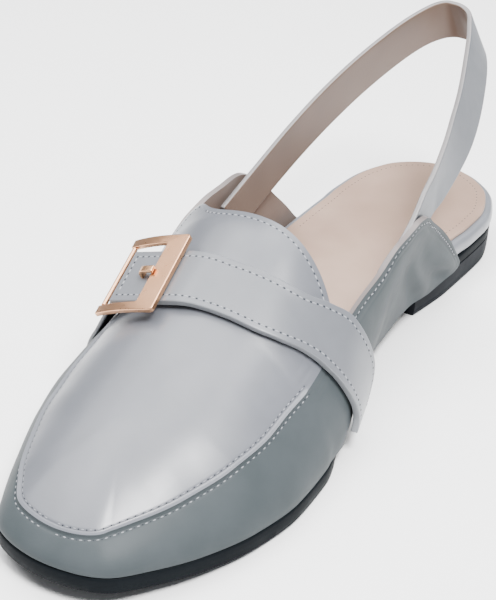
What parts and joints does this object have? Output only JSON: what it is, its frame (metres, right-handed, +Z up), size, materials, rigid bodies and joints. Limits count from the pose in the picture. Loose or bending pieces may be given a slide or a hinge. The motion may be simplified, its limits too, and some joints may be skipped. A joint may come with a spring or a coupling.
{
  "type": "sling back flat",
  "caption": "Low-heeled women's shoe with a closed moc-toe vamp and tongue, a buckled strap over the instep, open sides and a sling round the heel.",
  "frame": {"origin": "middle of the standing shoe's bounding box, on the floor plane under the sole", "axes": "+Z up, -Y to the toe, +X to the medial side of a right shoe"},
  "size_m": [0.088, 0.2504, 0.0841],
  "materials": {
    "outsole": "black, matt, smooth",
    "heel": "black, matt, smooth",
    "footbed": "pale grey leather wrapped round the board, semi-gloss",
    "sock": "beige pink lining leather, soft sheen",
    "upper": "pale grey smooth leather, semi-gloss, beige lining",
    "saddle_strap": "pale grey smooth leather, semi-gloss, stitched edges",
    "buckle_tab": "pale grey smooth leather, semi-gloss",
    "sling_strap": "pale grey smooth leather, beige lining",
    "buckle_frame": "rose gold plate, polished",
    "buckle_bar": "rose gold plate, polished",
    "buckle_prong": "rose gold plate, polished"
  },
  "bodies": {
    "root": {"outsole": "outsole", "heel": "heel", "footbed": "footbed", "sock": "sock", "upper": "upper", "saddle_strap": "saddle_strap", "buckle_tab": "buckle_tab", "sling_strap": "sling_strap", "buckle_frame": "buckle_frame", "buckle_bar": "buckle_bar", "buckle_prong": "buckle_prong"}
  },
  "joints": []
}
